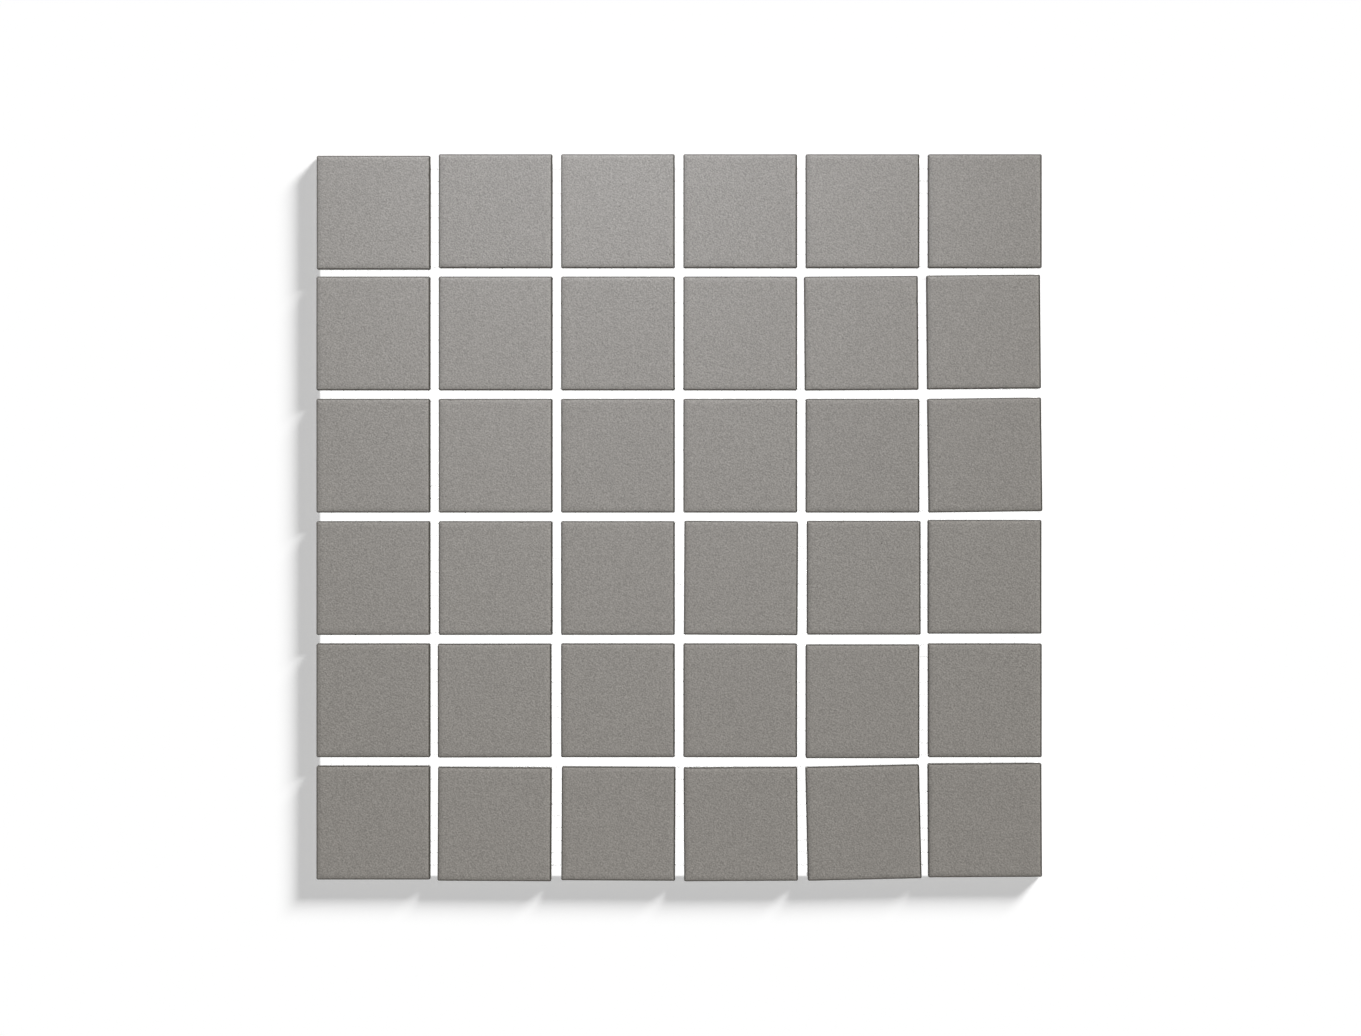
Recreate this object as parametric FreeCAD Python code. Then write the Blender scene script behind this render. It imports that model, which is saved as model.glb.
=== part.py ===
"""Mosaic tile sheet: square unglazed porcelain tiles, six by six, bonded face up on an open net of yarns.

Units are millimetres. The origin is the middle of the sheet's underside, where the net meets the bed.
+X runs along a row of tiles, +Y runs from the last row to the first, and +Z points out of the tile faces.
"""

import FreeCAD
import Part

import math
import os

from FreeCAD import Placement, Rotation, Vector

# Tile field
TILE_ROWS = 6
TILE_COLUMNS = 6
TILE_SIDE = 46.5
TILE_THICKNESS = 6.0
JOINT_WIDTH = 3.5

# Edges of one pressed tile
PLAN_CORNER_CUT = 0.4
CUSHION_WIDTH = 1.6
CUSHION_DROP = 0.16
ARRIS_RADIUS = 0.7

# Keyed back of one tile: square cells between ridges
BACK_CELLS = 3
BACK_RIM = 3.0
BACK_RIDGE = 2.5
CELL_DEPTH = 0.5

# Backing net: warp yarns along Y below, weft yarns along X on top of them
YARN_PITCH = 5.0
YARN_WIDTH = 0.6
YARN_THICKNESS = 0.3
NET_INSET = 1.0

# Tiles that lie visibly off the grid, counted from the first row and the left column:
# (shift along X, shift along Y, turn in degrees, anticlockwise from above)
SLIPPED_TILES = {
    (1, 1): (0.1, -0.6, 0.0),
    (2, 5): (-0.5, 0.1, 0.4),
    (2, 6): (-0.5, 0.6, 0.5),
    (3, 6): (0.0, 0.3, 0.7),
    (4, 4): (0.3, 0.0, -0.3),
    (4, 5): (0.5, 0.1, 0.0),
    (4, 6): (-0.1, 0.5, 0.0),
    (5, 2): (-0.4, -0.1, 0.1),
    (5, 5): (0.0, -0.4, 0.0),
    (6, 2): (-0.4, -0.6, -0.3),
    (6, 3): (0.2, -0.4, -0.3),
    (6, 4): (0.2, -0.6, 0.3),
    (6, 5): (0.4, 0.0, 1.3),
    (6, 6): (0.0, 1.0, 0.3),
}

# Worked out from the sizes above
TILE_PITCH = TILE_SIDE + JOINT_WIDTH
SHEET_LENGTH_X = TILE_COLUMNS * TILE_PITCH - JOINT_WIDTH
SHEET_LENGTH_Y = TILE_ROWS * TILE_PITCH - JOINT_WIDTH
NET_LENGTH_X = SHEET_LENGTH_X - 2 * NET_INSET
NET_LENGTH_Y = SHEET_LENGTH_Y - 2 * NET_INSET
NET_THICKNESS = 2 * YARN_THICKNESS


def section_across_tile():
    """Closed section of a tile in the XZ plane, back on Z = 0: flat face, cushion arcs, arrises, sides."""
    half = TILE_SIDE / 2
    cushion_radius = (CUSHION_WIDTH**2 + CUSHION_DROP**2) / (2 * CUSHION_DROP)
    slope = math.asin(CUSHION_WIDTH / cushion_radius)
    # The arris is tangent to the side and to the outer end of the cushion arc
    arris_x = half - ARRIS_RADIUS
    cushion_end_x = arris_x + ARRIS_RADIUS * math.sin(slope)
    cushion_end_z = TILE_THICKNESS - CUSHION_DROP
    arris_z = cushion_end_z - ARRIS_RADIUS * math.cos(slope)
    flat_x = cushion_end_x - CUSHION_WIDTH
    cushion_centre_z = TILE_THICKNESS - cushion_radius

    def cushion_point(side, angle):
        x = flat_x + cushion_radius * math.sin(angle)
        return Vector(side * x, 0, cushion_centre_z + cushion_radius * math.cos(angle))

    def arris_point(side, angle):
        x = arris_x + ARRIS_RADIUS * math.sin(angle)
        return Vector(side * x, 0, arris_z + ARRIS_RADIUS * math.cos(angle))

    middle_of_arris = (slope + math.pi / 2) / 2
    edges = [
        Part.LineSegment(cushion_point(-1, 0), cushion_point(1, 0)).toShape(),
        Part.LineSegment(Vector(-half, 0, 0), Vector(half, 0, 0)).toShape(),
    ]
    for side in (1, -1):
        edges += [
            Part.Arc(
                cushion_point(side, 0), cushion_point(side, slope / 2), cushion_point(side, slope)
            ).toShape(),
            Part.Arc(
                arris_point(side, slope), arris_point(side, middle_of_arris), arris_point(side, math.pi / 2)
            ).toShape(),
            Part.LineSegment(arris_point(side, math.pi / 2), Vector(side * half, 0, 0)).toShape(),
        ]
    return Part.Wire(Part.sortEdges(edges)[0])


def box_at(centre_x, centre_y, low_z, length_x, length_y, height):
    """Box centred on a point in plan, standing on low_z."""
    corner = Vector(centre_x - length_x / 2, centre_y - length_y / 2, low_z)
    return Part.makeBox(length_x, length_y, height, corner)


def cut_corner_plan():
    """Prism over the tile's plan, with its four upright corners cut by small flats."""
    prism = box_at(0, 0, 0, TILE_SIDE, TILE_SIDE, TILE_THICKNESS)
    upright = [edge for edge in prism.Edges if abs(edge.tangentAt(edge.FirstParameter).z) > 0.5]
    return prism.makeChamfer(PLAN_CORNER_CUT, upright)


def back_cells():
    """The square cells pressed into the tile's back, as boxes to cut away."""
    keyed_side = TILE_SIDE - 2 * BACK_RIM
    cell_side = (keyed_side - (BACK_CELLS - 1) * BACK_RIDGE) / BACK_CELLS
    cell_pitch = cell_side + BACK_RIDGE
    middle = (BACK_CELLS - 1) / 2
    return [
        box_at((i - middle) * cell_pitch, (j - middle) * cell_pitch, 0, cell_side, cell_side, CELL_DEPTH)
        for i in range(BACK_CELLS)
        for j in range(BACK_CELLS)
    ]


def make_tile():
    """One tile centred on the origin, its back on Z = 0. Two crossing runs of the section meet in mitres."""
    profile = Part.Face(section_across_tile())
    profile.translate(Vector(0, -TILE_SIDE / 2, 0))
    run = profile.extrude(Vector(0, TILE_SIDE, 0))
    crossing_run = run.copy()
    crossing_run.rotate(Vector(0, 0, 0), Vector(0, 0, 1), 90)
    tile = run.common(crossing_run).common(cut_corner_plan())
    return tile.cut(Part.makeCompound(back_cells())).Solids[0]


def lay_tile(tile, row, column):
    """A copy of the tile in its place on the net, with its slip off the grid if it has one."""
    grid_x = (column - (TILE_COLUMNS + 1) / 2) * TILE_PITCH
    grid_y = ((TILE_ROWS + 1) / 2 - row) * TILE_PITCH
    slip_x, slip_y, turn = SLIPPED_TILES.get((row, column), (0.0, 0.0, 0.0))
    laid = tile.copy()
    place = Vector(grid_x + slip_x, grid_y + slip_y, NET_THICKNESS)
    laid.Placement = Placement(place, Rotation(Vector(0, 0, 1), turn))
    return laid


def yarn_places(net_length):
    """Middles of the parallel yarns that fit across the net, in pairs either side of the sheet's middle."""
    pairs = int((net_length - YARN_WIDTH + YARN_PITCH) / (2 * YARN_PITCH))
    return [side * (i + 0.5) * YARN_PITCH for i in range(pairs) for side in (-1, 1)]


def make_warp():
    """The lower yarns, along Y, lying on the bed."""
    return Part.makeCompound(
        [box_at(x, 0, 0, YARN_WIDTH, NET_LENGTH_Y, YARN_THICKNESS) for x in yarn_places(NET_LENGTH_X)]
    )


def make_weft():
    """The upper yarns, along X, lying across the warp and under the tiles."""
    return Part.makeCompound(
        [
            box_at(0, y, YARN_THICKNESS, NET_LENGTH_X, YARN_WIDTH, YARN_THICKNESS)
            for y in yarn_places(NET_LENGTH_Y)
        ]
    )


def main():
    """Writes one STEP file for each tile and each layer of yarns."""
    os.makedirs("parts", exist_ok=True)
    tile = make_tile()
    for row in range(1, TILE_ROWS + 1):
        for column in range(1, TILE_COLUMNS + 1):
            lay_tile(tile, row, column).exportStep(f"parts/tile_row{row}_column{column}.step")
    make_warp().exportStep("parts/net_warp.step")
    make_weft().exportStep("parts/net_weft.step")


main()
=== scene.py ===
"""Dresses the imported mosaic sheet: porcelain tiles, glass-yarn net, floor, lamps and camera.

Units are metres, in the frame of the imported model: +X along a row of tiles, +Y towards the first row and +Z
out of the tile faces. Sizes that the frame holds are read from it, and the rest are fields of the classes.
"""

import logging
import math
from dataclasses import dataclass, field
from enum import Enum

import bmesh
import bpy
import numpy as np
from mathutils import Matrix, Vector


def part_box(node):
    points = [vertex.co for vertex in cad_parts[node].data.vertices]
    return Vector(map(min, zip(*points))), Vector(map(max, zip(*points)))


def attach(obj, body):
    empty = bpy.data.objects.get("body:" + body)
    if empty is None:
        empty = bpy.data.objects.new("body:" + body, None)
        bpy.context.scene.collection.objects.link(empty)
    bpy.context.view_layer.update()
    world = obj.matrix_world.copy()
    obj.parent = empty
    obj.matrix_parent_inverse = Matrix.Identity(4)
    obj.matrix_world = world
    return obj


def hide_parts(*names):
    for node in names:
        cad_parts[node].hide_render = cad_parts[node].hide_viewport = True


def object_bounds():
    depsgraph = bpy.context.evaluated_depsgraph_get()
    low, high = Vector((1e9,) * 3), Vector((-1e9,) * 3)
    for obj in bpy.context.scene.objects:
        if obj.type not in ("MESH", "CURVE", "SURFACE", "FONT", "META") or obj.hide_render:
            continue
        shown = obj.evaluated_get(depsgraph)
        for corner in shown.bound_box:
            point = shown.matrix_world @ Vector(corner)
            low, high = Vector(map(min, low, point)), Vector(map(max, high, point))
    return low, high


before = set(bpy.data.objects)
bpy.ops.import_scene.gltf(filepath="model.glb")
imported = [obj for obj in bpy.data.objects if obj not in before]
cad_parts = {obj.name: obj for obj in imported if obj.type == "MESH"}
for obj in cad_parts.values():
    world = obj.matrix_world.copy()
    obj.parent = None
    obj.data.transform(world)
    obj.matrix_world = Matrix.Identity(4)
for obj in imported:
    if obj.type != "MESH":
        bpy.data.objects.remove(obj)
CAD_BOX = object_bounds()

LOG = logging.getLogger("mosaic_sheet")
MM = 0.001
WELD_DISTANCE = 0.0005 * MM
CREASE_ANGLE = math.radians(32)
WHITE = (1.0, 1.0, 1.0)

# How far the grid of every noise is turned about X, Y and Z, so that no face of the sheet lies along it
NOISE_TURN = (0.6, 0.9, 0.35)

# The length along an axis of one diagonal band of a Wave texture at a scale of 1
WAVE_BAND = math.pi / 5

Colour = tuple[float, float, float]
Point = tuple[float, float, float]
Socket = bpy.types.NodeSocket
Value = Socket | float
Paint = Socket | Colour
Inputs = dict[str | int, object]


class Layer(Enum):
    """The two layers of yarns, by the axis that their yarns run along: 0 is X and 1 is Y."""

    WEFT = 0
    WARP = 1


class Graph:
    """A node tree with short calls for the nodes that the finishes use."""

    def __init__(self, tree: bpy.types.NodeTree) -> None:
        """Empties the tree and keeps it.

        Args:
            tree: The tree of a material or of the world.
        """
        self.tree = tree
        self.tree.nodes.clear()

    def add(self, kind: str, inputs: Inputs | None = None, **settings: object) -> bpy.types.Node:
        """Adds one node.

        Args:
            kind: The node's type without its ShaderNode prefix.
            inputs: What goes into its sockets, by name or index: a socket to link, or a constant.
            **settings: Values of the node's own properties.

        Returns:
            The node.
        """
        node = self.tree.nodes.new("ShaderNode" + kind)
        for name, value in settings.items():
            setattr(node, name, value)
        for key, value in (inputs or {}).items():
            if isinstance(value, Socket):
                self.tree.links.new(value, node.inputs[key])
            else:
                node.inputs[key].default_value = value
        return node

    def place(self) -> Socket:
        """Returns the Object coordinates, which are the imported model's own metres on every piece."""
        return self.add("TexCoord").outputs["Object"]

    def along(self, axis: str) -> Socket:
        """Returns one of the Object coordinates: X, Y or Z."""
        return self.add("SeparateXYZ", {0: self.place()}).outputs[axis]

    def noise(self, size: float, detail: float = 2.0) -> Socket:
        """Adds fractal noise on a turned grid.

        Args:
            size: The length of its features, in metres.
            detail: The number of finer octaves.

        Returns:
            The noise's value, which lies around 0.5.
        """
        turned = self.add("Mapping", {"Vector": self.place(), "Rotation": NOISE_TURN})
        inputs = {"Vector": turned.outputs["Vector"], "Scale": 1 / size, "Detail": detail}
        return self.add("TexNoise", inputs).outputs["Fac"]

    def maths(self, operation: str, *values: Value) -> Socket:
        """Returns the value of one Math node on one to three sockets or constants."""
        return self.add("Math", dict(enumerate(values)), operation=operation).outputs[0]

    def swing(self, noise: Socket, share: float, middle: float) -> Socket:
        """Returns a noise times a share, moved so that it lies around the middle instead of around 0.5."""
        return self.maths("MULTIPLY_ADD", noise, share, middle - 0.5 * share)

    def ramp(self, value: Value, low: float, high: float, start: float, end: float) -> Socket:
        """Carries a value smoothly from one range to another.

        Args:
            value: The value to read.
            low: The value that gives start.
            high: The value that gives end.
            start: The result at low and below.
            end: The result at high and above.

        Returns:
            The result.
        """
        inputs = {"Value": value, "From Min": low, "From Max": high, "To Min": start, "To Max": end}
        return self.add("MapRange", inputs, interpolation_type="SMOOTHSTEP").outputs["Result"]

    def mix(self, factor: Value, first: Paint, second: Paint) -> Socket:
        """Returns a colour between two colours, first at a factor of 0 and second at 1."""
        node = self.add("Mix", {0: factor, 6: opaque(first), 7: opaque(second)}, data_type="RGBA")
        return node.outputs[2]

    def backdrop_rays(self) -> Socket:
        """Tells the rays that see a backdrop from the rays that carry light.

        Returns:
            A value that is 1 on camera, glossy and transmission rays, and 0 on the others.
        """
        path = self.add("LightPath").outputs
        mirrored = self.maths("MAXIMUM", path["Is Glossy Ray"], path["Is Transmission Ray"])
        return self.maths("MAXIMUM", path["Is Camera Ray"], mirrored)

    def end(self, shader: bpy.types.Node, output: str = "OutputMaterial") -> None:
        """Ends the tree with the shader's first output, in an output node of the given kind."""
        self.tree.links.new(shader.outputs[0], self.add(output).inputs["Surface"])


def opaque(colour: Paint) -> Socket | tuple[float, ...]:
    """Returns a colour with its alpha of 1 added, and leaves a socket as it is."""
    return (*colour, 1.0) if isinstance(colour, tuple) else colour


def new_material(name: str) -> tuple[bpy.types.Material, Graph]:
    """Makes a material and the empty graph of its nodes.

    Args:
        name: The material's name.

    Returns:
        The material and its graph.
    """
    material = bpy.data.materials.new(name)
    material.use_nodes = True
    return material, Graph(material.node_tree)


@dataclass(frozen=True)
class PorcelainFinish:
    """Unglazed through-coloured porcelain: matte, fine grained, with a few dark specks.

    The arris carries painted shade: a little darker than the body all round, and nearly black where it
    faces the painted shade's direction.
    """

    body: Colour = (0.236, 0.221, 0.2)
    tone_swing: float = 0.5
    grain_size: float = 0.56 * MM
    grain_share: float = 0.67
    grain_range: tuple[float, float] = (0.3, 0.7)
    mottle_size: float = 8.0 * MM
    mottle_share: float = 0.06
    # Painted shade on the arris: a dark outline round each tile that fades down the side
    painted_arris_shade: Colour = (0.17, 0.157, 0.138)
    arris_shade_share: float = 0.95
    arris_shade_fade: float = 0.07 * MM
    arris_shade_depth: float = 0.7 * MM
    arris_shade_tail: float = 0.35 * MM
    # Painted shade where a surface faces the direction below: nearly black on the arris, reaching onto the
    # cushion
    painted_facing_shade: Colour = (0.02, 0.017, 0.013)
    painted_shade_direction: Point = (1.0, 0.38, 0.0)
    painted_shade_start: float = 0.04
    painted_shade_on_cushion: float = 0.14
    painted_shade_full: float = 0.3
    speck_colour: Colour = (0.09, 0.08, 0.07)
    speck_spacing: float = 7.0 * MM
    speck_radius: float = 0.26 * MM
    speck_core: float = 0.6
    peel_size: float = 0.85 * MM
    peel_height: float = 0.055 * MM
    grain_relief: float = 0.6
    roughness: float = 0.6
    roughness_swing: float = 0.1
    sheen_level: float = 0.25
    glue_colour: Colour = (0.66, 0.65, 0.61)
    glue_share: float = 0.8
    glue_reach: float = 1.3 * MM
    glue_waver: float = 3.0 * MM
    glue_fade: float = 0.5 * MM
    glue_facing: tuple[float, float] = (-0.9, -0.6)

    def make(self, arris_top: float, yarn_pitch: float) -> bpy.types.Material:
        """Builds the material: the body, the painted shade on the arris, the specks and the glue on the back,
        each over the last.

        Its relief is a soft peel with a share of the grain added to it, and its roughness falls as the grain
        rises.

        Args:
            arris_top: The height at which the arris meets the cushion.
            yarn_pitch: The distance between the net's yarns.

        Returns:
            The material.
        """
        material, graph = new_material("unglazed_porcelain")
        grain = graph.noise(self.grain_size, detail=0.0)
        peel = graph.noise(self.peel_size, detail=0.0)
        normal = graph.add("NewGeometry").outputs["Normal"]
        colour = self.body_colour(graph, grain)
        colour = self.lay_painted_shade(graph, colour, normal, arris_top)
        colour = graph.mix(self.speck_mask(graph), colour, self.speck_colour)
        colour = graph.mix(self.glue_mask(graph, normal, yarn_pitch), colour, self.glue_colour)
        relief = graph.maths("MULTIPLY_ADD", grain, self.grain_relief, peel)
        bump = graph.add("Bump", {"Height": relief, "Strength": 1.0, "Distance": self.peel_height})
        low, high = self.roughness - self.roughness_swing, self.roughness + self.roughness_swing
        shader_inputs = {
            "Base Color": colour,
            "Roughness": graph.ramp(grain, *self.grain_range, high, low),
            "Specular IOR Level": self.sheen_level,
            "Normal": bump.outputs["Normal"],
        }
        graph.end(graph.add("BsdfPrincipled", shader_inputs))
        return material

    def shaded(self, share: float) -> Colour:
        """Returns the body colour, lighter or darker by a share of itself."""
        return tuple(channel * (1 + share) for channel in self.body)

    def body_colour(self, graph: Graph, grain: Socket) -> Socket:
        """Builds the body's colour, which the tone picks between a darker and a lighter body.

        The tone is the sum of the fine grain, around 0.5, and of the wide mottling and the tile's own shade
        attribute, both around 0.

        Args:
            graph: The material's graph.
            grain: The fine grain.

        Returns:
            The colour.
        """
        mottle = graph.swing(graph.noise(self.mottle_size), self.mottle_share, 0.0)
        shade = graph.add("Attribute", attribute_name="shade").outputs["Fac"]
        tone = graph.maths("ADD", graph.swing(grain, self.grain_share, 0.5), mottle)
        tone = graph.maths("ADD", tone, shade)
        return graph.mix(tone, self.shaded(-self.tone_swing), self.shaded(self.tone_swing))

    def lay_painted_shade(self, graph: Graph, colour: Socket, normal: Socket, arris_top: float) -> Socket:
        """Lays painted shade on the arris over a colour.

        Its mask rises just under the arris's top and fades down the side. How far a surface faces the painted
        shade's direction is the product of its normal and that direction. As it grows, the painted shade
        turns from a dark colour to a nearly black one, and the mask reaches past the arris's top onto the
        cushion.

        Args:
            graph: The material's graph.
            colour: The colour under the arris.
            normal: The surface's normal.
            arris_top: The height at which the arris meets the cushion.

        Returns:
            The colour with the painted shade on it.
        """
        # Painted shade: darkens the arris, and the cushion where it faces the painted shade's direction
        product = graph.add("VectorMath", {0: normal, 1: self.painted_shade_direction}, operation="DOT_PRODUCT")
        facing = product.outputs["Value"]
        facing_darkening = graph.ramp(facing, self.painted_shade_start, self.painted_shade_full, 0.0, 1.0)
        arris = graph.mix(facing_darkening, self.painted_arris_shade, self.painted_facing_shade)
        height = graph.along("Z")
        lowest = arris_top - self.arris_shade_depth
        under_top = graph.ramp(height, arris_top - self.arris_shade_fade, arris_top, self.arris_shade_share, 0.0)
        on_cushion = graph.ramp(facing, self.painted_shade_on_cushion, self.painted_shade_full, 0.0, self.arris_shade_share)
        over_side = graph.ramp(height, lowest, lowest + self.arris_shade_tail, 0.0, 1.0)
        mask = graph.maths("MULTIPLY", graph.maths("MAXIMUM", under_top, on_cushion), over_side)
        return graph.mix(mask, colour, arris)

    def speck_mask(self, graph: Graph) -> Socket:
        """Builds the mask of the dark specks, which lie at the points of a sparse Voronoi pattern.

        Args:
            graph: The material's graph.

        Returns:
            A value that is 1 over a speck's core and falls to 0 at its radius.
        """
        inputs = {"Vector": graph.place(), "Scale": 1 / self.speck_spacing}
        distance = graph.add("TexVoronoi", inputs).outputs["Distance"]
        radius = self.speck_radius / self.speck_spacing
        return graph.ramp(distance, self.speck_core * radius, radius, 1.0, 0.0)

    def glue_mask(self, graph: Graph, normal: Socket, yarn_pitch: float) -> Socket:
        """Builds the mask of the glue smears along the net's yarns, on the faces that point down.

        A point's distance from the nearest yarn is how far its X or Y, over the pitch, is from the middle
        between two whole numbers, times the pitch. A smear reaches as far as a noise around 0.5 times twice
        the glue's reach.

        Args:
            graph: The material's graph.
            normal: The surface's normal.
            yarn_pitch: The distance between the net's yarns.

        Returns:
            A value from 0, outside a smear, to the glue's share.
        """
        lines = []
        for axis in ("X", "Y"):
            turns = graph.maths("FRACT", graph.maths("DIVIDE", graph.along(axis), yarn_pitch))
            lines.append(graph.maths("ABSOLUTE", graph.maths("SUBTRACT", turns, 0.5)))
        nearest = graph.maths("MULTIPLY", graph.maths("MINIMUM", *lines), yarn_pitch)
        reach = graph.maths("MULTIPLY", graph.noise(self.glue_waver), 2 * self.glue_reach)
        past_reach = graph.maths("SUBTRACT", nearest, reach)
        smear = graph.ramp(past_reach, -self.glue_fade, 0.0, self.glue_share, 0.0)
        upwards = graph.add("SeparateXYZ", {0: normal}).outputs["Z"]
        return graph.maths("MULTIPLY", smear, graph.ramp(upwards, *self.glue_facing, 1.0, 0.0))


@dataclass(frozen=True)
class YarnFinish:
    """White glass yarn in a glossy coating, with the faint slanting bands of its twisted filaments."""

    light: Colour = (0.93, 0.93, 0.92)
    dark: Colour = (0.86, 0.86, 0.84)
    twist_pitch: float = 0.733 * MM
    twist_waver: float = 1.5
    twist_detail: float = 1.0
    patch_size: float = 4.0 * MM
    filament_depth: float = 0.004 * MM
    roughness: float = 0.4
    coat_roughness: float = 0.24

    def make(self) -> bpy.types.Material:
        """Builds the material: slanting bands for the twisted filaments, broken up by noise.

        Returns:
            The material.
        """
        material, graph = new_material("coated_glass_yarn")
        inputs = {
            "Vector": graph.place(),
            "Scale": WAVE_BAND / self.twist_pitch,
            "Distortion": self.twist_waver,
            "Detail": self.twist_detail,
        }
        bands = graph.add("TexWave", inputs, bands_direction="DIAGONAL").outputs["Fac"]
        patches = graph.noise(self.patch_size)
        bump = graph.add("Bump", {"Height": bands, "Strength": 1.0, "Distance": self.filament_depth})
        shader_inputs = {
            "Base Color": graph.mix(graph.maths("MULTIPLY", bands, patches), self.light, self.dark),
            "Roughness": self.roughness,
            "Normal": bump.outputs["Normal"],
            "Coat Weight": 1.0,
            "Coat Roughness": self.coat_roughness,
        }
        graph.end(graph.add("BsdfPrincipled", shader_inputs))
        return material


@dataclass(frozen=True)
class FloorFinish:
    """White matte floor, which keeps the sheet's soft shadow and is white elsewhere, and in the joints
    through painted light.
    """

    colour: Colour = (0.95, 0.95, 0.95)
    open_glow: float = 0.18
    # Painted light: the strong glow under the sheet whitens the shaded joints
    painted_joint_light: float = 0.7
    joint_margin: float = 1.0 * MM

    def make(self, half_sheet: float) -> bpy.types.Material:
        """Builds the material.

        The floor's whiteness as a backdrop is added for camera, glossy and transmission rays alone, so it
        lights nothing. It follows the larger of |X| and |Y|: strong under the sheet, where it shows through
        the joints as painted light over their shade, and weak outside it, where the lamps bring the floor to
        white and the shadow falls.

        Args:
            half_sheet: Half the side of the sheet.

        Returns:
            The material.
        """
        material, graph = new_material("white_floor")
        from_middle = [graph.maths("ABSOLUTE", graph.along(axis)) for axis in ("X", "Y")]
        edge = half_sheet - self.joint_margin
        level = graph.ramp(
            graph.maths("MAXIMUM", *from_middle),
            edge - self.joint_margin,
            edge,
            self.painted_joint_light,
            self.open_glow,
        )
        glow = graph.maths("MULTIPLY", level, graph.backdrop_rays())
        diffuse = graph.add("BsdfDiffuse", {"Color": opaque(self.colour)})
        white = graph.add("Emission", {"Strength": glow})
        graph.end(graph.add("AddShader", {0: diffuse.outputs[0], 1: white.outputs[0]}))
        return material


def add_object(name: str, data: bpy.types.ID) -> bpy.types.Object:
    """Links new object data into the scene.

    Args:
        name: The object's name.
        data: Its mesh, lamp or camera.

    Returns:
        The object, at the origin and unturned.
    """
    made = bpy.data.objects.new(name, data)
    bpy.context.scene.collection.objects.link(made)
    return made


def add_piece(mesh: bpy.types.Mesh, material: bpy.types.Material, node: str) -> bpy.types.Object:
    """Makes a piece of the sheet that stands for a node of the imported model.

    Args:
        mesh: The piece's mesh, in its place.
        material: Its finish.
        node: The node that it stands for.

    Returns:
        The piece.
    """
    mesh.materials.append(material)
    piece = add_object(mesh.name, mesh)
    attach(piece, "root")
    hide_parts(node)
    LOG.info("%s: %d faces", piece.name, len(mesh.polygons))
    return piece


def node_corners(node: str) -> tuple[np.ndarray, np.ndarray]:
    """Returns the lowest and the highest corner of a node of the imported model."""
    low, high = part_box(node)
    return np.array(low), np.array(high)


def divided(start: float, end: float, steps: int) -> np.ndarray:
    """Returns the two ends of a stretch and the points that divide it into equal steps."""
    return np.linspace(start, end, steps + 1)


def grid_quads(rows: int, columns: int, start: int, wrap: bool) -> np.ndarray:
    """Numbers the corners of the quads between the neighbouring points of a grid, counted row by row.

    Args:
        rows: Rows of points.
        columns: Points in a row.
        start: The number of the first point.
        wrap: Whether each row closes on itself.

    Returns:
        An array of four indices for each quad.
    """
    row = np.arange(rows - 1)[:, None] * columns
    column = np.arange(columns if wrap else columns - 1)[None, :]
    following = (column + 1) % columns
    corners = (row + column, row + following, row + columns + following, row + columns + column)
    return np.stack(corners, axis=-1).reshape(-1, 4) + start


def build_mesh(name: str, points: np.ndarray, quads: np.ndarray) -> bpy.types.Mesh:
    """Makes a mesh of quads, welds the points that coincide and marks its creases.

    Args:
        name: The mesh's name.
        points: An array of XYZ points.
        quads: An array of four indices for each face, anticlockwise from outside.

    Returns:
        The mesh, shaded smooth between its creases.
    """
    mesh = bpy.data.meshes.new(name)
    mesh.vertices.add(len(points))
    mesh.vertices.foreach_set("co", points.astype(np.float32).ravel())
    mesh.loops.add(quads.size)
    mesh.loops.foreach_set("vertex_index", quads.astype(np.int32).ravel())
    mesh.polygons.add(len(quads))
    mesh.polygons.foreach_set("loop_start", np.arange(0, quads.size, 4, dtype=np.int32))
    mesh.update(calc_edges=True)
    soup = bmesh.new()
    soup.from_mesh(mesh)
    bmesh.ops.remove_doubles(soup, verts=soup.verts, dist=WELD_DISTANCE)
    soup.to_mesh(mesh)
    soup.free()
    mesh.polygons.foreach_set("use_smooth", np.ones(len(mesh.polygons), bool))
    mesh.set_sharp_from_angle(angle=CREASE_ANGLE)
    return mesh


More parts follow.
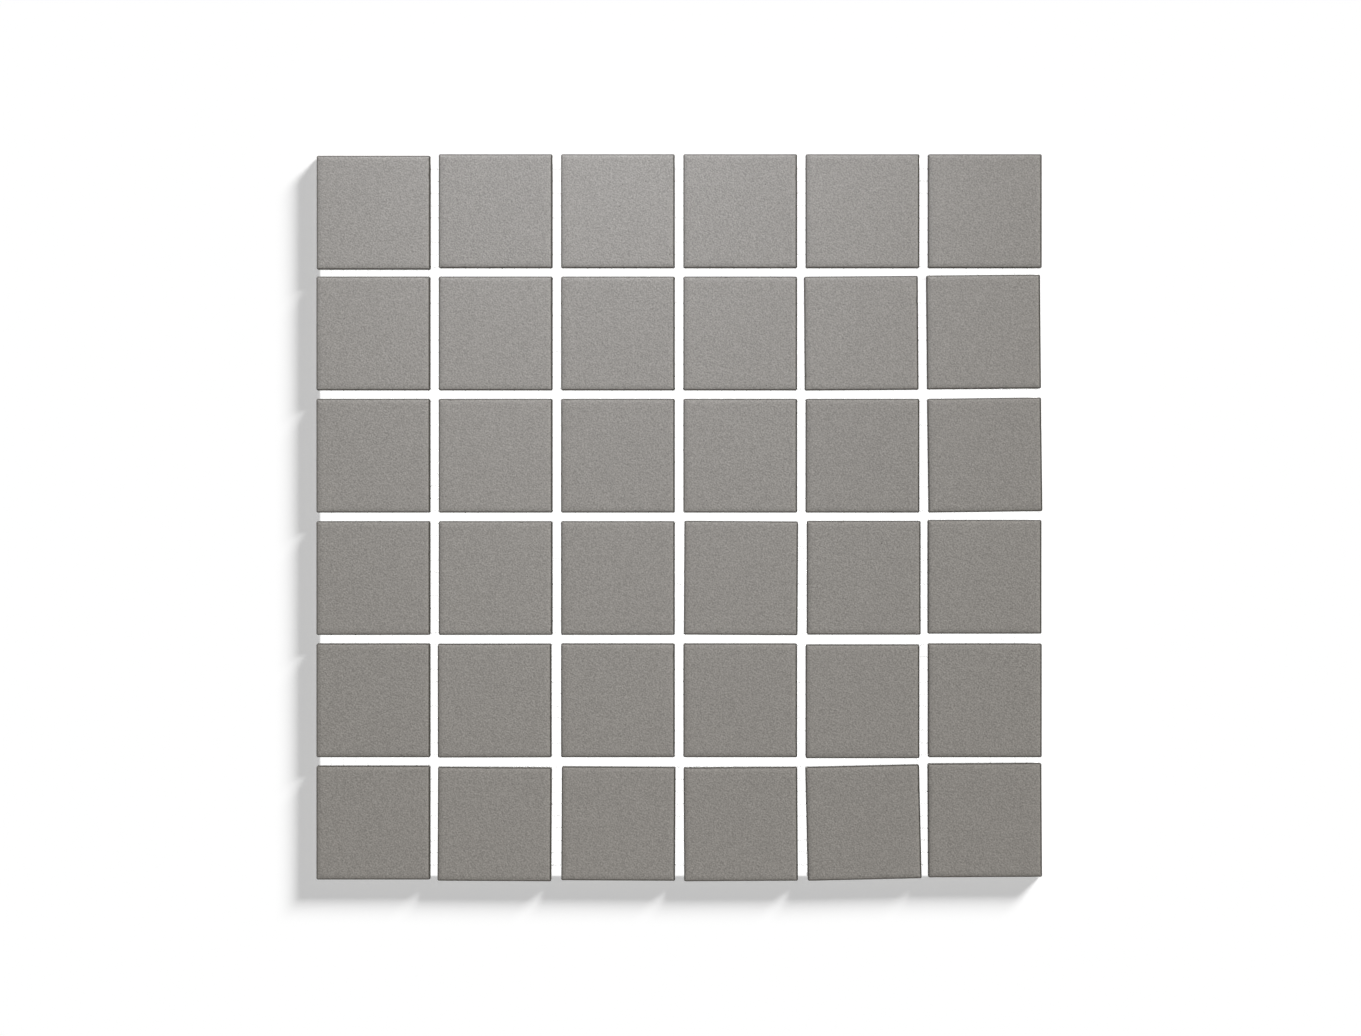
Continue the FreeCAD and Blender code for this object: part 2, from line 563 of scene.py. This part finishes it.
@dataclass(frozen=True)
class TileForm:
    """The form that every tile is pressed to: flat face, cushion, arris, sides and keyed back.

    Each count of steps is the number of equal parts that an arc or a flat is divided into.
    """

    side: float
    thickness: float
    corner_radius: float = 0.6 * MM
    least_radius: float = 0.12 * MM
    cushion_width: float = 1.6 * MM
    cushion_drop: float = 0.16 * MM
    arris_radius: float = 0.7 * MM
    foot_radius: float = 0.15 * MM
    wear_height: float = 0.7
    wear_spread: float = 0.4
    back_cells: int = 3
    back_rim: float = 3.0 * MM
    back_ridge: float = 2.5 * MM
    cell_depth: float = 0.5 * MM
    cell_wall: float = 0.3 * MM
    cell_steps: int = 10
    ridge_steps: int = 3
    rim_steps: int = 4
    corner_steps: int = 4
    foot_steps: int = 3
    side_steps: int = 3
    arris_steps: int = 7
    cushion_steps: int = 5

    @property
    def cushion_radius(self) -> float:
        """The radius of the cushion's arc, which leaves the face's flat level and falls by the drop."""
        return (self.cushion_width**2 + self.cushion_drop**2) / (2 * self.cushion_drop)

    @property
    def cushion_slope(self) -> float:
        """The slope at which the cushion meets the arris, in radians."""
        return math.asin(self.cushion_width / self.cushion_radius)

    @property
    def face_inset(self) -> float:
        """How far the face's flat lies inside the side: the plan width of the arris and the cushion."""
        return self.arris_radius * (1 - math.sin(self.cushion_slope)) + self.cushion_width

    @property
    def half_face(self) -> float:
        """Half the side of the face's flat."""
        return self.side / 2 - self.face_inset

    @property
    def half_back(self) -> float:
        """Half the side of the back's flat, inside the foot's rounding."""
        return self.side / 2 - self.foot_radius

    @property
    def keyed_side(self) -> float:
        """The side of the back's keyed square, inside its rim."""
        return self.side - 2 * self.back_rim

    @property
    def cell_side(self) -> float:
        """The side of one cell of the back."""
        return (self.keyed_side - (self.back_cells - 1) * self.back_ridge) / self.back_cells

    @property
    def cell_pitch(self) -> float:
        """The distance between the middles of neighbouring cells."""
        return self.cell_side + self.back_ridge

    def grid_lines(self) -> np.ndarray:
        """Places the grid lines that the face, the sides and the back share.

        Returns:
            The lines from -1 to 1, as shares of half the back's flat, with one on each edge of each cell.
        """
        half_cell = self.cell_side / 2
        middles = (np.arange(self.back_cells) - (self.back_cells - 1) / 2) * self.cell_pitch
        cell_floor = divided(self.cell_wall - half_cell, half_cell - self.cell_wall, self.cell_steps)
        cell_lines = np.concatenate(([-half_cell], cell_floor, [half_cell]))
        ridge_lines = divided(half_cell, half_cell + self.back_ridge, self.ridge_steps)[1:-1]
        rim_lines = divided(self.keyed_side / 2, self.half_back, self.rim_steps)[1:]
        inside = (middles[:, None] + cell_lines).ravel()
        ridges = (middles[:-1, None] + ridge_lines).ravel()
        return np.sort(np.concatenate((-rim_lines, inside, ridges, rim_lines))) / self.half_back

    def ring(self, lines: np.ndarray) -> tuple[np.ndarray, np.ndarray]:
        """Lays out the points of one ring round the tile.

        A ring is a square shrunk by its corner radius and pushed out again by it, so a point is an anchor on
        the unit square times the half side less the radius, plus the radius along its outward direction.

        Args:
            lines: The grid lines along a side, from -1 to 1.

        Returns:
            The anchors and the outward directions, each an array of XY rows, anticlockwise from above.
        """
        arc = divided(0, math.pi / 2, self.corner_steps)[1:-1]
        anchors = np.concatenate((
            np.stack((lines, -np.ones_like(lines)), 1),
            np.tile([1.0, -1.0], (len(arc), 1)),
        ))
        directions = np.concatenate((
            np.tile([0.0, -1.0], (len(lines), 1)),
            np.stack((np.sin(arc), -np.cos(arc)), 1),
        ))
        quarter_turn = np.array([[0.0, 1.0], [-1.0, 0.0]])
        turns = [np.linalg.matrix_power(quarter_turn, quarter) for quarter in range(4)]
        return tuple(np.concatenate([side @ turn for turn in turns]) for side in (anchors, directions))

    def profile(self) -> np.ndarray:
        """Works out the section that is carried round the tile, from the back's flat up to the face's flat.

        It is a quarter circle at the foot, a straight side, an arris arc and a cushion arc tangent to it.
        The wear is a bell curve of the height over the side, in arris radii.

        Returns:
            Rows of inset from the side, height over the back, corner radius, and share of the edge's wear.
        """
        side_top = self.thickness - self.cushion_drop - self.arris_radius * math.cos(self.cushion_slope)
        foot = divided(0, math.pi / 2, self.foot_steps)
        straight = divided(self.foot_radius, side_top, self.side_steps)[1:-1]
        arris = divided(math.pi / 2, self.cushion_slope, self.arris_steps)
        cushion = divided(self.cushion_slope, 0, self.cushion_steps)[1:]
        insets = np.concatenate((
            self.foot_radius * (1 - np.sin(foot)),
            0 * straight,
            self.arris_radius * (1 - np.sin(arris)),
            self.face_inset - self.cushion_radius * np.sin(cushion),
        ))
        heights = np.concatenate((
            self.foot_radius * (1 - np.cos(foot)),
            straight,
            side_top + self.arris_radius * np.cos(arris),
            self.thickness - self.cushion_radius * (1 - np.cos(cushion)),
        ))
        radii = np.maximum(self.corner_radius - insets, self.least_radius)
        over_side = (heights - side_top) / self.arris_radius
        wear = np.exp(-((over_side - self.wear_height) ** 2) / self.wear_spread)
        # The first and the last ring are the square edges of the back and the face
        radii[[0, -1]] = 0.0
        wear[[0, -1]] = 0.0
        return np.stack((insets, heights, radii, wear))

    def cell_mask(self, place: np.ndarray) -> np.ndarray:
        """Tells cells from ridges along one axis of the back.

        Args:
            place: Places along the axis, from the tile's middle.

        Returns:
            1 over a cell's floor, 0 over a ridge or the rim, and a slope over a cell's wall.
        """
        pitch = self.cell_pitch
        from_middle = np.abs((place + self.back_cells * pitch / 2) % pitch - pitch / 2)
        inside = np.clip((self.cell_side / 2 - from_middle) / self.cell_wall, 0, 1)
        return np.where(np.abs(place) > self.keyed_side / 2 + self.cell_wall, 0.0, inside)


@dataclass
class Tile:
    """One tile as fired and laid: the form with its own waves, worn edge, shade, place and turn."""

    node: str
    form: TileForm
    wave_count: int = 6
    wave_length: float = 14 * MM
    wave_height: float = 0.006 * MM
    edge_waver: float = 0.02 * MM
    waver_turns: tuple[int, ...] = (3, 7, 13, 22)
    most_nicks: int = 2
    nick_depth: float = 0.14 * MM
    least_nick: float = 0.4
    nick_width: float = 0.9 * MM
    wear_sink: float = 0.6
    shade_spread: float = 0.012
    widest_turn: float = math.radians(2)
    turn_steps: int = 160
    random: np.random.Generator = field(init=False)
    waves: np.ndarray = field(init=False)

    def __post_init__(self) -> None:
        """Seeds the tile's own draws from its name, and draws the waves of its face."""
        self.random = np.random.default_rng(list(self.node.encode()))
        self.waves = self.random.random((3, self.wave_count, 1, 1))

    def place_and_turn(self) -> tuple[np.ndarray, float]:
        """Finds where the node lies: turned back by its turn, its points fill the smallest rectangle.

        Returns:
            The middle of the node's back, and the turn in radians, anticlockwise from above.
        """
        low, high = node_corners(self.node)
        middle = np.array([*(low + high)[:2] / 2, low[2]])
        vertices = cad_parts[self.node].data.vertices
        points = np.zeros(3 * len(vertices))
        vertices.foreach_get("co", points)
        x, y, _ = (points.reshape(-1, 3) - middle).T
        turns = divided(-self.widest_turn, self.widest_turn, self.turn_steps)[:, None]
        across = x * np.cos(turns) + y * np.sin(turns)
        along = y * np.cos(turns) - x * np.sin(turns)
        areas = np.ptp(across, axis=1) * np.ptp(along, axis=1)
        return middle, float(turns[np.argmin(areas), 0])

    def face_depth(self, x: np.ndarray, y: np.ndarray) -> np.ndarray:
        """Works out how far the face lies under its highest level: the mean of plane waves.

        Each wave has its own heading, its own phase, and a length from half to one and a half times the
        named one.

        Args:
            x: Places across the tile, as a grid.
            y: Places along the tile, as a grid.

        Returns:
            The depths, from 0 upwards.
        """
        heading, length, phase = self.waves
        heading, length = heading * math.pi, (0.5 + length) * self.wave_length
        travel = (x * np.cos(heading) + y * np.sin(heading)) / length + phase
        return self.wave_height * (1 - np.sin(2 * math.pi * travel)).mean(axis=0)

    def worn_inset(self, perimeter: np.ndarray) -> np.ndarray:
        """Works out how far the arris falls back round the tile.

        It is a slow waver, the mean of a few sines that each close round the tile, and a bell curve for each
        of a few small nicks.

        Args:
            perimeter: The distance of each point of a ring round the tile.

        Returns:
            The insets, from 0 upwards.
        """
        around = 4 * self.form.side
        turns = np.array(self.waver_turns)[:, None]
        phases = self.random.random(turns.shape)
        waver = (1 + np.sin(2 * math.pi * (turns * perimeter / around + phases))).mean(axis=0) / 2
        nicks = self.random.integers(0, self.most_nicks + 1)
        places = self.random.random((nicks, 1)) * around
        away = np.abs((perimeter - places + around / 2) % around - around / 2)
        depths = self.nick_depth * self.random.uniform(self.least_nick, 1.0, places.shape)
        nicked = (depths * np.exp(-((away / self.nick_width) ** 2))).sum(axis=0)
        return self.edge_waver * waver + nicked

    def band(self, lines: np.ndarray) -> tuple[np.ndarray, np.ndarray, np.ndarray]:
        """Carries the form's profile round the tile, one ring for each point of the profile.

        The wear draws a ring in, against its outward directions, and sinks it by a share of that. From an
        arris radius under the face upwards, the rings follow the waves of the face more and more.

        Args:
            lines: The grid lines along a side, from -1 to 1.

        Returns:
            The X, the Y and the Z of the points, each with a row for each ring.
        """
        form = self.form
        anchors, directions = form.ring(lines)
        insets, heights, radii, wear = (row[:, None] for row in form.profile())
        steps = np.linalg.norm(np.diff(anchors, axis=0, prepend=anchors[-1:]), axis=1) * form.side / 2
        worn = self.worn_inset(np.cumsum(steps)) * wear
        half = form.side / 2 - insets
        x, y = (anchors[:, i] * (half - radii) + directions[:, i] * (radii - worn) for i in (0, 1))
        near_face = np.clip((heights - form.thickness + form.arris_radius) / form.arris_radius, 0, 1)
        return x, y, heights - self.wear_sink * worn - near_face * self.face_depth(x, y)

    def surface(self) -> tuple[np.ndarray, np.ndarray]:
        """Builds the tile's closed surface round the origin: the band round it, its face and its back.

        Returns:
            The points and the quads.
        """
        form = self.form
        lines = form.grid_lines()
        band = self.band(lines)
        face_x, face_y = np.meshgrid(lines * form.half_face, lines * form.half_face)
        face_z = form.thickness - self.face_depth(face_x, face_y)
        back_x, back_y = np.meshgrid(lines * form.half_back, lines * form.half_back)
        back_z = form.cell_depth * form.cell_mask(back_x) * form.cell_mask(back_y)
        parts = (band, (face_x, face_y, face_z), (back_x, back_y, back_z))
        count = len(lines)
        face_start = band[0].size
        back_start = face_start + face_x.size
        quads = np.concatenate((
            grid_quads(*band[0].shape, 0, True),
            grid_quads(count, count, face_start, False),
            grid_quads(count, count, back_start, False)[:, ::-1],
        ))
        return np.concatenate([np.stack(part, -1).reshape(-1, 3) for part in parts]), quads

    def build(self, material: bpy.types.Material) -> bpy.types.Object:
        """Makes the tile's piece, which stands for its node.

        Args:
            material: The porcelain.

        Returns:
            The piece.
        """
        middle, turn = self.place_and_turn()
        points, quads = self.surface()
        cosine, sine = math.cos(turn), math.sin(turn)
        turned = points @ np.array([[cosine, sine, 0], [-sine, cosine, 0], [0, 0, 1]])
        mesh = build_mesh("porcelain_" + self.node, turned + middle, quads)
        shade = mesh.attributes.new("shade", "FLOAT", "POINT")
        tone = self.random.normal(0.0, self.shade_spread)
        shade.data.foreach_set("value", np.full(len(mesh.vertices), tone, np.float32))
        return add_piece(mesh, material, self.node)


@dataclass(frozen=True)
class NetLayer:
    """One layer of the backing net: parallel coated yarns, pressed flat on top and under."""

    node: str
    layer: Layer
    pitch: float
    width: float = 0.6 * MM
    flat_share: float = 0.96
    shoulder: float = 0.9
    steps_per_mesh: int = 3
    narrowing: float = 0.1
    settle: float = 0.04 * MM
    waver: float = 0.1 * MM
    waver_lengths: tuple[float, ...] = (61 * MM, 23 * MM)
    tip_length: float = 0.4 * MM
    tolerance: float = 1e-4
    seed: int = 11

    def middles(self, low: float, high: float) -> np.ndarray:
        """Places the middles of the yarns that lie between two limits, at odd halves of the pitch.

        Args:
            low: The lower limit of the yarns' edges.
            high: The upper limit of the yarns' edges.

        Returns:
            The middles, in order.
        """
        first = math.ceil((low + self.width / 2) / self.pitch - 0.5 - self.tolerance)
        last = math.floor((high - self.width / 2) / self.pitch - 0.5 + self.tolerance)
        return (np.arange(first, last + 1) + 0.5) * self.pitch

    def section(self) -> tuple[np.ndarray, np.ndarray]:
        """Lays out a yarn's section: a flat top and underside, and rounded shoulders between them.

        Returns:
            The places across and upwards, as shares of half the width and half the height.
        """
        across = np.array([1.0, self.flat_share, -self.flat_share, -1.0])
        upwards = np.array([self.shoulder, 1.0, 1.0, self.shoulder])
        return np.concatenate((across, across[::-1])), np.concatenate((upwards, -upwards[::-1]))

    def surface(self) -> tuple[np.ndarray, np.ndarray]:
        """Builds all yarns of the layer.

        A yarn is the section carried along a line. Between crossings it narrows, and its outer face settles
        a little towards the other layer, both as cosines of the distance over the pitch. It wavers sideways
        as the mean of slow sines, and both its tips close on their middle points.

        Returns:
            The points and the quads.
        """
        random = np.random.default_rng(self.seed + self.layer.value)
        low, high = node_corners(self.node)
        run, across = self.layer.value, 1 - self.layer.value
        middles = self.middles(low[across], high[across])
        steps = round((high[run] - low[run]) / self.pitch * self.steps_per_mesh)
        shaft = np.linspace(low[run] + self.tip_length, high[run] - self.tip_length, steps)
        travel = np.concatenate((low[[run]], shaft, high[[run]]))
        swell = np.concatenate(([0.0], np.ones(steps), [0.0]))
        between = (1 + np.cos(2 * math.pi * travel / self.pitch)) / 2
        lengths = np.array(self.waver_lengths)[:, None, None]
        phases = random.random((len(lengths), len(middles), 1))
        sideways = self.waver / 2 * np.sin(2 * math.pi * (travel / lengths + phases)).mean(axis=0)
        section_across, section_up = self.section()
        half_width = self.width / 2 * swell * (1 - self.narrowing * between)
        half_height = (high[2] - low[2]) / 2 - self.settle / 2 * between
        towards = 1 if self.layer is Layer.WARP else -1
        level = (low[2] + high[2]) / 2 + towards * self.settle / 2 * between
        points = np.zeros((len(middles), len(travel), len(section_up), 3))
        points[..., run] = travel[:, None]
        points[..., across] = (
            middles[:, None, None] + sideways[..., None] + half_width[:, None] * section_across
        )
        points[..., 2] = level[:, None] + (half_height * swell)[:, None] * section_up
        yarn = grid_quads(len(travel), len(section_up), 0, True)
        if self.layer is Layer.WARP:
            # With X and Y exchanged, the same order of corners would turn the faces inwards
            yarn = yarn[:, ::-1]
        starts = np.arange(len(middles))[:, None, None] * (points[0].size // 3)
        return points.reshape(-1, 3), (yarn + starts).reshape(-1, 4)

    def build(self, material: bpy.types.Material) -> bpy.types.Object:
        """Makes the layer's piece, which stands for its node.

        Args:
            material: The yarn's finish.

        Returns:
            The piece.
        """
        points, quads = self.surface()
        return add_piece(build_mesh(self.node + "_yarns", points, quads), material, self.node)


@dataclass(frozen=True)
class Sheet:
    """The whole mosaic sheet: its tiles and the two layers of its net.

    The true tiles are two neighbours in a row that lie true to the grid.
    """

    rows: int = 6
    columns: int = 6
    yarns_per_tile: int = 10
    true_tiles: tuple[str, str] = ("tile_row3_column1", "tile_row3_column2")

    @property
    def pitch(self) -> float:
        """The distance from one tile's left edge to the next one's."""
        first, second = (node_corners(node)[0] for node in self.true_tiles)
        return float(second[0] - first[0])

    def build(self) -> list[bpy.types.Object]:
        """Builds every tile and both layers of yarns, on the sizes of the true tiles.

        Returns:
            The tiles.
        """
        low, high = node_corners(self.true_tiles[0])
        side, _, thickness = high - low
        yarn_pitch = self.pitch / self.yarns_per_tile
        form = TileForm(side, thickness)
        porcelain = PorcelainFinish().make(high[2] - form.cushion_drop, yarn_pitch)
        tiles = [
            Tile(f"tile_row{row}_column{column}", form).build(porcelain)
            for row in range(1, self.rows + 1)
            for column in range(1, self.columns + 1)
        ]
        glass = YarnFinish().make()
        for node, layer in (("net_warp", Layer.WARP), ("net_weft", Layer.WEFT)):
            NetLayer(node, layer, yarn_pitch).build(glass)
        return tiles


@dataclass(frozen=True, kw_only=True)
class Lamp:
    """A lamp that the camera doesn't see, at a place, pointed at an aim."""

    name: str
    place: Point
    aim: Point = (0.0, 0.0, 0.0)
    colour: Colour = WHITE

    def hang(self, data: bpy.types.Light) -> bpy.types.Object:
        """Puts the lamp's data in its place and turns it to its aim.

        Args:
            data: The lamp's data.

        Returns:
            The lamp.
        """
        lamp = add_object(self.name, data)
        lamp.visible_camera = False
        data.color = self.colour
        lamp.location = self.place
        lamp.rotation_mode = "QUATERNION"
        lamp.rotation_quaternion = (lamp.location - Vector(self.aim)).to_track_quat("Z", "Y")
        return lamp


@dataclass(frozen=True, kw_only=True)
class DistantLamp(Lamp):
    """A lamp as far away as the sky, with the level that it gives a floor.

    At a level of 1 from all lamps together, a matte floor shows its colour as it is written.
    """

    level: float
    angle: float

    def build(self) -> None:
        """Makes the lamp: its strength is pi times the floor's level, over the sine of its height."""
        data = bpy.data.lights.new(self.name, "SUN")
        data.energy = self.level * math.pi * math.dist(self.place, self.aim) / self.place[2]
        data.angle = self.angle
        self.hang(data)


@dataclass(frozen=True, kw_only=True)
class Softbox(Lamp):
    """A rectangular lamp, with a grid that narrows its beam and flags that keep it on the lit pieces."""

    power: float
    size: tuple[float, float]
    spread: float
    lit: tuple[bpy.types.Object, ...]

    def build(self) -> None:
        """Makes the lamp, which lights only the pieces listed as lit."""
        data = bpy.data.lights.new(self.name, "AREA")
        data.shape = "RECTANGLE"
        data.size, data.size_y = self.size
        data.spread = self.spread
        data.energy = self.power
        receivers = bpy.data.collections.new(self.name + "_lit")
        for piece in self.lit:
            receivers.objects.link(piece)
        self.hang(data).light_linking.receiver_collection = receivers


@dataclass(frozen=True)
class Studio:
    """Floor, lamps, world and camera.

    The photograph's frame, the sheet's middle in it and the pitch of its tiles are in pixels.
    """

    tiles: tuple[bpy.types.Object, ...]
    pitch: float
    floor_side: float = 12.0
    floor_gap: float = 0.05 * MM
    world_level: float = 0.06
    photo_width: float = 1361
    photo_height: float = 1036
    sheet_middle: tuple[float, float] = (679.1, 516.9)
    pitch_pixels: float = 122.36
    camera_height: float = 2.6
    view_depth: float = 26.0
    sensor: float = 36.0

    def build(self) -> None:
        """Builds the floor, the lamps, the world and the camera."""
        self.add_floor()
        for lamp in self.lamps():
            lamp.build()
        self.add_world()
        self.add_camera()

    def lamps(self) -> list[DistantLamp | Softbox]:
        """Lists the lamps: one overhead, a low key at the first row's right end, a softbox over that row.

        Returns:
            The lamps.
        """
        return [
            DistantLamp(name="overhead", place=(0.0, 0.0, 3.0), level=0.31, angle=math.radians(5)),
            DistantLamp(name="key", place=(11.2, 12.0, 6.6), level=0.495, angle=math.radians(16)),
            Softbox(
                name="softbox",
                place=(-0.042, 0.6, 0.42),
                aim=(-0.03, 0.185, 0.0),
                colour=(0.93, 1.0, 1.15),
                power=0.25,
                size=(0.3, 0.15),
                spread=math.radians(40),
                lit=self.tiles,
            ),
        ]

    def add_floor(self) -> None:
        """Lays the floor just under the net."""
        half = self.floor_side / 2
        corners = [(-half, -half), (half, -half), (half, half), (-half, half)]
        mesh = bpy.data.meshes.new("floor")
        mesh.from_pydata([(x, y, -self.floor_gap) for x, y in corners], [], [(0, 1, 2, 3)])
        mesh.materials.append(FloorFinish().make(CAD_BOX[1].x))
        add_object("floor", mesh)

    def add_world(self) -> None:
        """Gives the world a faint even light, and shows it white as a backdrop."""
        world = bpy.data.worlds.new("studio")
        bpy.context.scene.world = world
        world.use_nodes = True
        graph = Graph(world.node_tree)
        level = graph.ramp(graph.backdrop_rays(), 0.0, 1.0, self.world_level, 1.0)
        background = graph.add("Background", {"Color": opaque(WHITE), "Strength": level})
        graph.end(background, "OutputWorld")

    def add_camera(self) -> None:
        """Hangs the camera straight over the sheet, framed as in the photograph.

        Its lens is the sensor's width times the distance to the tile faces, over the width framed there.
        """
        pixel = self.pitch / self.pitch_pixels
        data = bpy.data.cameras.new("camera")
        data.sensor_width = self.sensor
        data.lens = self.sensor * (self.camera_height - CAD_BOX[1].z) / (self.photo_width * pixel)
        data.clip_end = self.view_depth
        camera = add_object("camera", data)
        camera.location = (
            (self.photo_width / 2 - self.sheet_middle[0]) * pixel,
            (self.sheet_middle[1] - self.photo_height / 2) * pixel,
            self.camera_height,
        )
        bpy.context.scene.camera = camera


def main() -> None:
    """Builds the sheet and then the studio round it."""
    logging.basicConfig(level=logging.INFO, format="%(name)s: %(message)s")
    bpy.context.scene.view_settings.view_transform = "Standard"
    sheet = Sheet()
    tiles = sheet.build()
    Studio(tuple(tiles), sheet.pitch).build()


if __name__ == "__main__":
    main()
